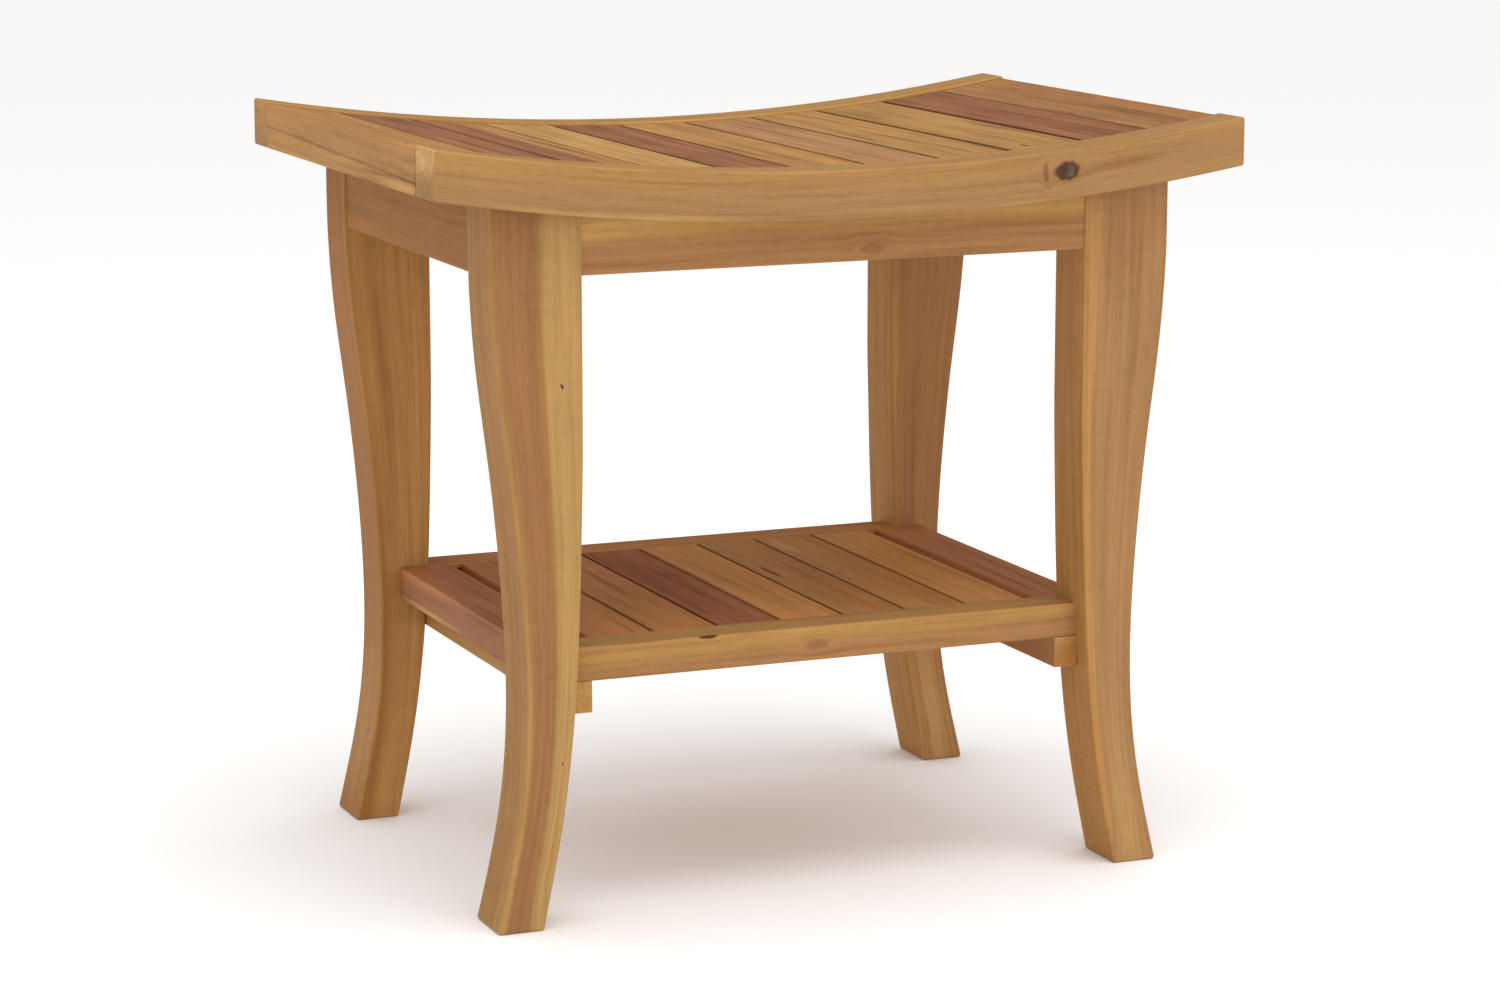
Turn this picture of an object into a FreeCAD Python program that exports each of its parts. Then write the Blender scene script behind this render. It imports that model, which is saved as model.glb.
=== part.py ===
import FreeCAD, Part
import math
import os

# Slatted wooden shower stool: curved seat panel on a frame of four curved legs,
# with a slatted shelf between the legs.  Millimetres.
# Origin: middle of the footprint, on the floor.  +X runs along the seat, +Y to the back, +Z up.

# ---------------------------------------------------------------- overall
overall_length = 500.0          # along X, over the seat rails
overall_depth = 350.0           # along Y, over the seat rails
overall_height = 450.0          # floor to the tips of the seat

# ---------------------------------------------------------------- seat panel
seat_sag = 21.3                 # how far the middle of the seat dips below its ends
seat_rail_height = 28.2         # measured at right angles to the curve
seat_rail_width = 30.0          # along Y
seat_board_drop = 1.5           # boards lie this far below the rails' top
# gap at each joint between neighbouring boards, left to right; there is one board more than gaps
seat_gaps = [1.5, 2.6, 1.6, 2.6, 2.4, 2.2, 2.0, 2.6, 2.8, 1.0]
# the boards are fitted by hand: how far each joint lies to the right of even spacing
seat_joint_shifts = [0.5, 0.6, 2.4, 2.9, 1.5, 1.5, 2.6, 2.6, 3.2, 0.2]
seat_tongue_thickness = 9.0
seat_tongue_length = 10.0
seat_groove_stop = 9.0          # groove ends this far short of the rails' ends

# ---------------------------------------------------------------- legs
leg_depth = 38.6                # along Y
leg_overhang_x = 39.1           # seat end to the leg's outer face, at the top
leg_overhang_y = 20.3           # seat edge to the leg's outer face
leg_top_width = 54.3            # along X
# course of the outer edge: how far up the free leg, and how far it is drawn in from the top
leg_outer_edge = [(0.000, 0.4), (0.094, 8.8), (0.201, 16.0), (0.348, 19.5), (0.521, 17.0),
                  (0.722, 9.6), (0.869, 3.0), (0.976, 0.4)]
# course of the inner edge: the same, with how far it stands out from the top
leg_inner_edge = [(0.000, 26.0), (0.094, 18.6), (0.201, 11.6), (0.321, 6.4), (0.481, 2.7),
                  (0.669, 0.6)]
leg_outer_straight = 1.050      # both edges run straight up from here
leg_inner_straight = 0.762

# ---------------------------------------------------------------- aprons
apron_drop = 76.0               # seat's tips down to the lower edge
apron_thickness = 20.0
apron_recess_front = 1.7        # front and back aprons, behind the legs' faces
apron_recess_side = 1.5         # side aprons, behind the legs' outer faces
apron_tenon_thickness = 9.0
apron_tenon_height = 21.0
apron_tenon_rise = 5.0          # tenon starts this far above the lower edge
apron_tenon_length = 16.0

# ---------------------------------------------------------------- shelf panel
shelf_top = 159.8               # height of the shelf's upper face
shelf_rail_height = 20.2
shelf_rail_setback = 14.0       # shelf front face behind the legs' faces
shelf_slat_count = 7
shelf_gap = 1.2
shelf_slat_thickness = 12.0
shelf_slat_drop = 0.3           # slats lie this far below the rails' top
shelf_end_gap = 7.6             # between the outer slats and the end boards
shelf_end_board_width = 32.1
shelf_end_reach = 18.2          # end boards reach this far past the legs' inner faces
shelf_leg_clearance = 0.6       # between the ends of the end boards and the legs
shelf_tongue_thickness = 6.0
shelf_tongue_length = 8.0
shelf_groove_stop = 6.0

# ---------------------------------------------------------------- bearers and cleats
bearer_width = 14.0             # along X
bearer_height = 18.2
cleat_width = 20.0              # along X
cleat_rise = 9.0                # above the aprons' lower edge
cleat_end_gap = 21.0            # short of the legs at each end

# ---------------------------------------------------------------- screws
screw_radius = 2.0
screw_head_radius = 4.0
screw_head_height = 2.6
screw_recess_width = 1.0        # arms of the cross recess
screw_recess_depth = 1.6
seat_screw_length = 42.0
cleat_screw_length = 32.0
shelf_screw_length = 32.0
seat_screw_inset = 55.0         # seat screws from the cleat's ends
cleat_screw_inset = 20.0        # cleat screws from the cleat's ends

# ---------------------------------------------------------------- dowels, bearer to leg
dowel_radius = 3.0
dowel_length = 24.0
dowel_bearer_depth = 9.0        # how far a dowel reaches into the bearer
dowel_end_chamfer = 0.6
dowel_inset = 6.0               # from the edges of the face on the leg

# ---------------------------------------------------------------- fits and edges
tongue_clearance = 0.15         # around tongues and tenons
screw_clearance = 0.05          # around a screw's shank or a dowel
blind_clearance = 1.0           # past the end of a tongue, tenon, screw or dowel
rail_edge_radius = 1.5
board_edge_radius = 1.0
leg_edge_radius = 1.5
apron_edge_radius = 1.0

# ---------------------------------------------------------------- derived
half_length = overall_length / 2.0
half_depth = overall_depth / 2.0
seat_top_radius = (half_length ** 2 + seat_sag ** 2) / (2.0 * seat_sag)
seat_low_radius = seat_top_radius + seat_rail_height
seat_board_radius = seat_top_radius + seat_board_drop
seat_centre_height = overall_height - seat_sag + seat_top_radius
seat_inner_y = half_depth - seat_rail_width
seat_board_count = len(seat_gaps) + 1
seat_pitch = overall_length / seat_board_count
leg_outer_x = half_length - leg_overhang_x
leg_inner_x = leg_outer_x - leg_top_width
leg_outer_y = half_depth - leg_overhang_y
leg_inner_y = leg_outer_y - leg_depth
shelf_underside = shelf_top - shelf_rail_height
shelf_outer_y = leg_outer_y - shelf_rail_setback
shelf_inner_y = leg_inner_y - shelf_leg_clearance
apron_underside = overall_height - apron_drop
side_apron_inner_x = leg_outer_x - apron_recess_side - apron_thickness

os.makedirs("parts", exist_ok=True)


def save(shape, name):
    """Write one sub-part."""
    shape.exportStep("parts/" + name + ".step")


def box(x0, x1, y0, y1, z0, z1):
    """Box between the given limits."""
    return Part.makeBox(x1 - x0, y1 - y0, z1 - z0, FreeCAD.Vector(x0, y0, z0))


def turned_to_back(shape):
    """The same piece on the other side of the X-Z plane."""
    return shape.mirror(FreeCAD.Vector(0, 0, 0), FreeCAD.Vector(0, 1, 0))


def turned_to_right(shape):
    """The same piece on the other side of the Y-Z plane."""
    return shape.mirror(FreeCAD.Vector(0, 0, 0), FreeCAD.Vector(1, 0, 0))


def softened(shape, radius, wanted):
    """Round the edges that the test picks out."""
    edges = [edge for edge in shape.Edges if wanted(edge)]
    return shape.makeFillet(radius, edges)


def runs_along_y(edge):
    """True for an edge parallel to Y."""
    ends = [vertex.Point for vertex in edge.Vertexes]
    if len(ends) < 2:
        return False
    step = ends[1] - ends[0]
    return abs(step.x) < 1e-6 and abs(step.z) < 1e-6


def runs_along_x(edge):
    """True for an edge parallel to X."""
    ends = [vertex.Point for vertex in edge.Vertexes]
    if len(ends) < 2:
        return False
    step = ends[1] - ends[0]
    return abs(step.y) < 1e-6 and abs(step.z) < 1e-6


def every_edge(edge):
    """Picks every edge."""
    return True


# ---------------------------------------------------------------- seat curve
def seat_point(radius, x):
    """Point of the seat's curve with the given radius, above x."""
    return FreeCAD.Vector(x, 0, seat_centre_height - math.sqrt(radius ** 2 - x ** 2))


def seat_bar(low_radius, high_radius, left, right, y0, y1, plumb_left, plumb_right):
    """Bar that follows the seat's curve.  left and right are taken on the upper face; a side
    is square to the curve unless it is plumb."""
    taper = low_radius / high_radius
    low_left = left if plumb_left else left * taper
    low_right = right if plumb_right else right * taper
    a = seat_point(low_radius, low_left)
    b = seat_point(low_radius, (low_left + low_right) / 2.0)
    c = seat_point(low_radius, low_right)
    d = seat_point(high_radius, right)
    e = seat_point(high_radius, (left + right) / 2.0)
    f = seat_point(high_radius, left)
    edges = [Part.Arc(a, b, c).toShape(), Part.makeLine(c, d)]
    edges += [Part.Arc(d, e, f).toShape(), Part.makeLine(f, a)]
    face = Part.Face(Part.Wire(edges))
    face.translate(FreeCAD.Vector(0, y0, 0))
    return face.extrude(FreeCAD.Vector(0, y1 - y0, 0))


def seat_hollow():
    """Everything above the seat panel's underside."""
    return Part.makeCylinder(seat_low_radius, overall_depth * 2.0,
                             FreeCAD.Vector(0, -overall_depth, seat_centre_height),
                             FreeCAD.Vector(0, 1, 0))


tongue_middle_radius = (seat_low_radius + seat_board_radius) / 2.0
tongue_low_radius = tongue_middle_radius + seat_tongue_thickness / 2.0
tongue_high_radius = tongue_middle_radius - seat_tongue_thickness / 2.0
tongue_reach_y = seat_inner_y + seat_tongue_length
tongue_limit_x = half_length - seat_groove_stop - tongue_clearance


def seat_joint(number):
    """Middle of a joint between two boards, counted from the left."""
    return -half_length + (number + 1) * seat_pitch + seat_joint_shifts[number]


def seat_board(index):
    """Board of the seat: 0 and the last are the end boards."""
    last = seat_board_count - 1
    left = -half_length
    right = half_length
    if index > 0:
        left = seat_joint(index - 1) + seat_gaps[index - 1] / 2.0
    if index < last:
        right = seat_joint(index) - seat_gaps[index] / 2.0
    body = seat_bar(seat_low_radius, seat_board_radius, left, right,
                    -seat_inner_y, seat_inner_y, index == 0, index == last)
    body = softened(body, board_edge_radius, runs_along_y)
    tongue_left = max(left + board_edge_radius, -tongue_limit_x)
    tongue_right = min(right - board_edge_radius, tongue_limit_x)
    tongue = seat_bar(tongue_low_radius, tongue_high_radius, tongue_left, tongue_right,
                      -tongue_reach_y, tongue_reach_y, index == 0, index == last)
    return body.fuse(tongue).removeSplitter()


def seat_rail():
    """Front rail of the seat, grooved for the boards' tongues."""
    body = seat_bar(seat_low_radius, seat_top_radius, -half_length, half_length,
                    -half_depth, -seat_inner_y, True, True)
    body = softened(body, rail_edge_radius, every_edge)
    groove = seat_bar(tongue_low_radius + tongue_clearance, tongue_high_radius - tongue_clearance,
                      -half_length + seat_groove_stop, half_length - seat_groove_stop,
                      -tongue_reach_y - blind_clearance, 0.0, True, True)
    return body.cut(groove)


# ---------------------------------------------------------------- legs
def leg_edge_curve(stations, straight, face_x, direction):
    """Smooth edge of a leg from the floor to where it runs straight up.  The free leg ends at
    the aprons' lower edge."""
    points = []
    for share, offset in stations:
        points.append(FreeCAD.Vector(face_x + direction * offset, 0, share * apron_underside))
    points.append(FreeCAD.Vector(face_x, 0, straight * apron_underside))
    curve = Part.BSplineCurve()
    start_slope = points[1] - points[0]
    start_slope.normalize()
    curve.interpolate(Points=points, InitialTangent=start_slope * 1.0,
                      FinalTangent=FreeCAD.Vector(0, 0, 1), Scale=True)
    return curve


outer_curve = leg_edge_curve(leg_outer_edge, leg_outer_straight, leg_outer_x, -1.0)
inner_curve = leg_edge_curve(leg_inner_edge, leg_inner_straight, leg_inner_x, 1.0)


def inner_x_at(height):
    """X of the leg's inner edge at a height."""
    low = inner_curve.FirstParameter
    high = inner_curve.LastParameter
    if height >= inner_curve.value(high).z:
        return leg_inner_x
    for step in range(60):
        middle = (low + high) / 2.0
        if inner_curve.value(middle).z < height:
            low = middle
        else:
            high = middle
    return inner_curve.value((low + high) / 2.0).x


def leg_blank():
    """Front right leg before its top is cut to the seat's curve."""
    outer_foot = outer_curve.value(outer_curve.FirstParameter)
    outer_end = outer_curve.value(outer_curve.LastParameter)
    inner_foot = inner_curve.value(inner_curve.FirstParameter)
    inner_end = inner_curve.value(inner_curve.LastParameter)
    outer_top = FreeCAD.Vector(leg_outer_x, 0, overall_height)
    inner_top = FreeCAD.Vector(leg_inner_x, 0, overall_height)
    edges = [Part.makeLine(inner_foot, outer_foot), outer_curve.toShape(),
             Part.makeLine(outer_end, outer_top), Part.makeLine(outer_top, inner_top),
             Part.makeLine(inner_top, inner_end), inner_curve.toShape()]
    face = Part.Face(Part.Wire(Part.sortEdges(edges)[0]))
    face.translate(FreeCAD.Vector(0, -leg_outer_y, 0))
    blank = face.extrude(FreeCAD.Vector(0, leg_depth, 0))
    top = overall_height - 1e-6
    return softened(blank, leg_edge_radius, lambda edge: edge.BoundBox.ZMin < top)


# ---------------------------------------------------------------- aprons
tenon_low = apron_underside + apron_tenon_rise
tenon_high = tenon_low + apron_tenon_height
front_apron_y = -leg_outer_y + apron_recess_front
front_tenon_y = front_apron_y + (apron_thickness - apron_tenon_thickness) / 2.0
side_tenon_x = side_apron_inner_x + (apron_thickness - apron_tenon_thickness) / 2.0


def front_tenon(clearance):
    """Tongue at both ends of the front apron, or its mortise with clearance."""
    reach = leg_inner_x + apron_tenon_length + (blind_clearance if clearance else 0.0)
    return box(-reach, reach, front_tenon_y - clearance,
               front_tenon_y + apron_tenon_thickness + clearance,
               tenon_low - clearance, tenon_high + clearance)


def side_tenon(clearance):
    """The same for the right apron."""
    reach = leg_inner_y + apron_tenon_length + (blind_clearance if clearance else 0.0)
    return box(side_tenon_x - clearance, side_tenon_x + apron_tenon_thickness + clearance,
               -reach, reach, tenon_low - clearance, tenon_high + clearance)


def front_apron(hollow):
    """Front apron, its top cut to the seat's curve."""
    body = box(-leg_inner_x, leg_inner_x, front_apron_y, front_apron_y + apron_thickness,
               apron_underside, overall_height)
    low = apron_underside + 1e-6
    body = softened(body, apron_edge_radius,
                    lambda edge: runs_along_x(edge) and edge.BoundBox.ZMax < low)
    return body.cut(hollow).fuse(front_tenon(0.0)).removeSplitter()


def right_apron(hollow):
    """Right apron, its top cut to the seat's curve."""
    body = box(side_apron_inner_x, side_apron_inner_x + apron_thickness,
               -leg_inner_y, leg_inner_y, apron_underside, overall_height)
    low = apron_underside + 1e-6
    body = softened(body, apron_edge_radius,
                    lambda edge: runs_along_y(edge) and edge.BoundBox.ZMax < low)
    return body.cut(hollow).fuse(side_tenon(0.0)).removeSplitter()


# ---------------------------------------------------------------- screws
def screw(length, place, direction):
    """Countersunk wood screw whose head's face is at place, pointing along direction."""
    tip = length - screw_radius * 2.0
    outline = [(0.0, 0.0), (screw_head_radius, 0.0), (screw_radius, screw_head_height),
               (screw_radius, tip), (0.0, length), (0.0, 0.0)]
    wire = Part.makePolygon([FreeCAD.Vector(r, 0, z) for r, z in outline])
    body = Part.Face(wire).revolve(FreeCAD.Vector(0, 0, 0), FreeCAD.Vector(0, 0, 1), 360)
    arm = screw_head_radius * 0.55
    half = screw_recess_width / 2.0
    body = body.cut(box(-arm, arm, -half, half, -1.0, screw_recess_depth))
    body = body.cut(box(-half, half, -arm, arm, -1.0, screw_recess_depth))
    return placed(body, place, direction)


def screw_hole(length, place, direction):
    """Countersunk pilot hole for that screw."""
    reach = length + blind_clearance
    outline = [(0.0, -1.0), (screw_head_radius, -1.0), (screw_head_radius, 0.0),
               (screw_radius, screw_head_height),
               (screw_radius + screw_clearance, screw_head_height),
               (screw_radius + screw_clearance, reach), (0.0, reach), (0.0, -1.0)]
    wire = Part.makePolygon([FreeCAD.Vector(r, 0, z) for r, z in outline])
    body = Part.Face(wire).revolve(FreeCAD.Vector(0, 0, 0), FreeCAD.Vector(0, 0, 1), 360)
    return placed(body, place, direction)


def dowel(place):
    """Glued dowel along X, across the face between a bearer and a leg."""
    body = Part.makeCylinder(dowel_radius, dowel_length,
                             FreeCAD.Vector(place.x - dowel_bearer_depth, place.y, place.z),
                             FreeCAD.Vector(1, 0, 0))
    ends = [edge for edge in body.Edges if edge.Closed]
    return body.makeChamfer(dowel_end_chamfer, ends)


def dowel_hole(place):
    """Blind holes in both pieces for that dowel."""
    start = place.x - dowel_bearer_depth - blind_clearance
    return Part.makeCylinder(dowel_radius + screw_clearance,
                             dowel_length + 2.0 * blind_clearance,
                             FreeCAD.Vector(start, place.y, place.z),
                             FreeCAD.Vector(1, 0, 0))


def placed(shape, place, direction):
    """Turn a shape from +Z to a direction and move it."""
    turn = FreeCAD.Rotation(FreeCAD.Vector(0, 0, 1), direction)
    shape.Placement = FreeCAD.Placement(place, turn)
    return shape


def drilled(shape, holes):
    """Cut the holes that the shape meets."""
    for hole in holes:
        shape = shape.cut(hole)
    return shape


# ---------------------------------------------------------------- hidden strips on the right
bearer_top = shelf_underside
bearer_middle_z = bearer_top - bearer_height / 2.0
bearer_inner_x = inner_x_at(bearer_top) - bearer_width
bearer_middle_x = bearer_inner_x + bearer_width / 2.0
cleat_inner_x = side_apron_inner_x - cleat_width
cleat_half = leg_inner_y - cleat_end_gap
cleat_underside = apron_underside + cleat_rise
cleat_middle_x = cleat_inner_x + cleat_width / 2.0
up = FreeCAD.Vector(0, 0, 1)
outward = FreeCAD.Vector(1, 0, 0)

seat_screw_y = cleat_half - seat_screw_inset
cleat_screw_y = cleat_half - cleat_screw_inset
seat_screw_places = [FreeCAD.Vector(cleat_middle_x, side * seat_screw_y, cleat_underside)
                     for side in (-1, 1)]
cleat_screw_height = cleat_underside + cleat_width / 2.0
cleat_screw_places = [FreeCAD.Vector(cleat_inner_x, side * cleat_screw_y, cleat_screw_height)
                      for side in (-1, 1)]
dowel_places = []
shelf_screw_places = []
for side in (-1, 1):
    for y in (leg_inner_y + dowel_inset, shelf_outer_y - dowel_inset):
        dowel_places.append(FreeCAD.Vector(inner_x_at(bearer_middle_z), side * y,
                                           bearer_middle_z))
    middle_y = (leg_inner_y + shelf_outer_y) / 2.0
    shelf_screw_places.append(FreeCAD.Vector(bearer_middle_x, side * middle_y,
                                             bearer_top - bearer_height))


def both_sides(shapes):
    """A group with its mirror image on the left."""
    return shapes + [turned_to_right(shape) for shape in shapes]


seat_screws = both_sides([screw(seat_screw_length, p, up) for p in seat_screw_places])
seat_holes = both_sides([screw_hole(seat_screw_length, p, up) for p in seat_screw_places])
cleat_screws = both_sides([screw(cleat_screw_length, p, outward) for p in cleat_screw_places])
cleat_holes = both_sides([screw_hole(cleat_screw_length, p, outward) for p in cleat_screw_places])
bearer_dowels = both_sides([dowel(p) for p in dowel_places])
dowel_holes = both_sides([dowel_hole(p) for p in dowel_places])
shelf_screws = both_sides([screw(shelf_screw_length, p, up) for p in shelf_screw_places])
shelf_holes = both_sides([screw_hole(shelf_screw_length, p, up) for p in shelf_screw_places])

# ---------------------------------------------------------------- build: seat panel
front_rail = seat_rail()
save(front_rail, "seat_rail_front")
save(turned_to_back(front_rail), "seat_rail_back")

for index in range(seat_board_count):
    board = seat_board(index)
    if index == 0:
        save(board, "seat_end_board_left")
    elif index == seat_board_count - 1:
        save(board, "seat_end_board_right")
    else:
        save(drilled(board, seat_holes), "seat_slat_" + str(index))

# ---------------------------------------------------------------- build: base frame
hollow = seat_hollow()
leg = leg_blank().cut(hollow)
leg_uncut = leg.copy()
leg = leg.cut(front_tenon(tongue_clearance)).cut(side_tenon(tongue_clearance))
leg = drilled(leg, [hole for hole in dowel_holes if hole.BoundBox.XMin > 0.0])
save(leg, "leg_front_right")
save(turned_to_right(leg), "leg_front_left")
save(turned_to_back(leg), "leg_back_right")
save(turned_to_right(turned_to_back(leg)), "leg_back_left")

apron = front_apron(hollow)
save(apron, "apron_front")
save(turned_to_back(apron), "apron_back")
apron = drilled(right_apron(hollow), cleat_holes)
save(apron, "apron_right")
save(turned_to_right(apron), "apron_left")

cleat = box(cleat_inner_x, side_apron_inner_x, -cleat_half, cleat_half,
            cleat_underside, overall_height).cut(hollow)
cleat = drilled(cleat, seat_holes + cleat_holes)
save(cleat, "seat_cleat_right")
save(turned_to_right(cleat), "seat_cleat_left")

# ---------------------------------------------------------------- build: shelf panel
leg_pair = [leg_uncut, turned_to_right(leg_uncut)]
rail_reach = inner_x_at(shelf_underside)
shelf_rail = box(-rail_reach, rail_reach, -shelf_outer_y, -shelf_inner_y,
                 shelf_underside, shelf_top)
shelf_rail = softened(shelf_rail, board_edge_radius, runs_along_x)
for leg_shape in leg_pair:
    shelf_rail = shelf_rail.cut(leg_shape)
slat_high = shelf_top - shelf_slat_drop
slat_low = slat_high - shelf_slat_thickness
shelf_tongue_low = (slat_high + slat_low - shelf_tongue_thickness) / 2.0
shelf_tongue_high = shelf_tongue_low + shelf_tongue_thickness
shelf_tongue_y = shelf_inner_y + shelf_tongue_length
shelf_groove_x = inner_x_at(shelf_top) - shelf_groove_stop
shelf_end_outer_x = inner_x_at((shelf_top + shelf_underside) / 2.0) + shelf_end_reach
shelf_end_inner_x = shelf_end_outer_x - shelf_end_board_width
shelf_slats_half = shelf_end_inner_x - shelf_end_gap + shelf_gap / 2.0
shelf_slat_pitch = 2.0 * shelf_slats_half / shelf_slat_count
shelf_rail = shelf_rail.cut(box(-shelf_groove_x, shelf_groove_x,
                                -shelf_tongue_y - blind_clearance, 0.0,
                                shelf_tongue_low - tongue_clearance,
                                shelf_tongue_high + tongue_clearance))
shelf_rail = drilled(shelf_rail, shelf_holes)
save(shelf_rail, "shelf_rail_front")
save(turned_to_back(shelf_rail), "shelf_rail_back")

for index in range(shelf_slat_count):
    left = -shelf_slats_half + index * shelf_slat_pitch + shelf_gap / 2.0
    right = left + shelf_slat_pitch - shelf_gap
    slat = box(left, right, -shelf_inner_y, shelf_inner_y, slat_low, slat_high)
    slat = softened(slat, board_edge_radius, runs_along_y)
    tongue = box(left + board_edge_radius, right - board_edge_radius,
                 -shelf_tongue_y, shelf_tongue_y, shelf_tongue_low, shelf_tongue_high)
    save(slat.fuse(tongue).removeSplitter(), "shelf_slat_" + str(index + 1))

end_board = box(shelf_end_inner_x, shelf_end_outer_x, -shelf_inner_y, shelf_inner_y,
                shelf_underside, shelf_top)
end_board = softened(end_board, board_edge_radius, runs_along_y)
tongue = box(shelf_end_inner_x + board_edge_radius, shelf_groove_x - tongue_clearance,
             -shelf_tongue_y, shelf_tongue_y, shelf_tongue_low, shelf_tongue_high)
end_board = end_board.fuse(tongue).removeSplitter()
save(end_board, "shelf_end_board_right")
save(turned_to_right(end_board), "shelf_end_board_left")

bearer = box(bearer_inner_x, bearer_inner_x + bearer_width * 2.0, -shelf_outer_y, shelf_outer_y,
             bearer_top - bearer_height, bearer_top)
bearer = bearer.common(box(bearer_inner_x, inner_x_at(bearer_middle_z), -shelf_outer_y,
                           shelf_outer_y, bearer_top - bearer_height, bearer_top))
bearer = bearer.cut(leg_uncut).cut(turned_to_back(leg_uncut))
bearer = drilled(bearer, dowel_holes + shelf_holes)
save(bearer, "shelf_bearer_right")
save(turned_to_right(bearer), "shelf_bearer_left")

# ---------------------------------------------------------------- build: fasteners
save(Part.makeCompound(seat_screws), "seat_screws")
save(Part.makeCompound(cleat_screws), "cleat_screws")
save(Part.makeCompound(bearer_dowels), "bearer_dowels")
save(Part.makeCompound(shelf_screws), "shelf_screws")
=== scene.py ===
"""Looks of a slatted shower stool: oiled acacia boards, steel screws and a plain pale stage."""

import math

import bpy
import numpy as np
from bpy.props import FloatProperty, FloatVectorProperty, PointerProperty
from bpy.types import NodeSocket, Operator, Panel, PropertyGroup
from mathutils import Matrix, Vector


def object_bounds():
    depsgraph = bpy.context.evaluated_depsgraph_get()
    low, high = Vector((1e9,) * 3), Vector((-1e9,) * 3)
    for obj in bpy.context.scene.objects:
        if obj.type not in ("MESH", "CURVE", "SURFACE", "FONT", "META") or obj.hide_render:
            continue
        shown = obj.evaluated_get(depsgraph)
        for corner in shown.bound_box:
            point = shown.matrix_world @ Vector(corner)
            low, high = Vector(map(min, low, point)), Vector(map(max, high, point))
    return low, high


bl_info = {
    "name": "Slatted shower stool",
    "version": (1, 0, 0),
    "blender": (4, 5, 0),
    "location": "3D View > Sidebar > Stool",
    "description": "Gives the packed stool its wood and steel, and sets it on a pale floor",
    "category": "Object",
}

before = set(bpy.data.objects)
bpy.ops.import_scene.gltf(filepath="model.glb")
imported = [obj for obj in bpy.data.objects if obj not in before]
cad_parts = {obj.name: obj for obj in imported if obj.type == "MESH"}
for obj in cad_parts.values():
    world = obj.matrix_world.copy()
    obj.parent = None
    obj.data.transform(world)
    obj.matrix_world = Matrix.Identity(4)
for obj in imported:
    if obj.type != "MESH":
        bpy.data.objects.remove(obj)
CAD_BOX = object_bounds()
MM = 1000.0  # millimetres in a metre


# ------------------------------------------------------------------ colours and sizes
# How strongly each part of the figure brightens the wood (above 0) or darkens it (below 0).
GAIN = {"streak": 0.50, "fibre": 0.22, "pore": -0.14, "worn": 0.07, "cut_end": 0.10}
SHEEN = 0.08  # specular level: oil soaked into bare wood mirrors little of the room
KNOT_WOBBLE = 3.2  # mm, how far noise moves a knot's outline, from side to side
SEED_STEP = (317.0, 71.0, 193.0)  # mm in the tree between one piece and the next
DRIFT_SPAN = (240.0, 50.0, 50.0)  # mm over which the grain wanders, along and across
DRIFT = (0.0, 5.0, 5.0)  # mm that it wanders, along and across


def linear(code):
    """sRGB hex to linear: a channel is c / 12.92 up to 0.04045, above it
    ((c + 0.055) / 1.055) ** 2.4."""
    c = np.array([int(code[i:i + 2], 16) for i in (1, 3, 5)]) / 255.0
    return (*np.where(c <= 0.04045, c / 12.92, ((c + 0.055) / 1.055) ** 2.4).tolist(), 1.0)


def colour(name, description, code):
    """A colour that can be changed in the sidebar."""
    return FloatVectorProperty(name=name, description=description, subtype="COLOR", size=4,
                               min=0.0, max=1.0, default=linear(code))


def size(name, description, metres):
    """A length that can be changed in the sidebar."""
    return FloatProperty(name=name, description=description, unit="LENGTH", min=0.0,
                         precision=5, default=metres)


def share(name, description, value, high=1.0):
    """A plain factor that can be changed in the sidebar."""
    return FloatProperty(name=name, description=description, subtype="FACTOR", min=0.0,
                         max=high, default=value)


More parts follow.
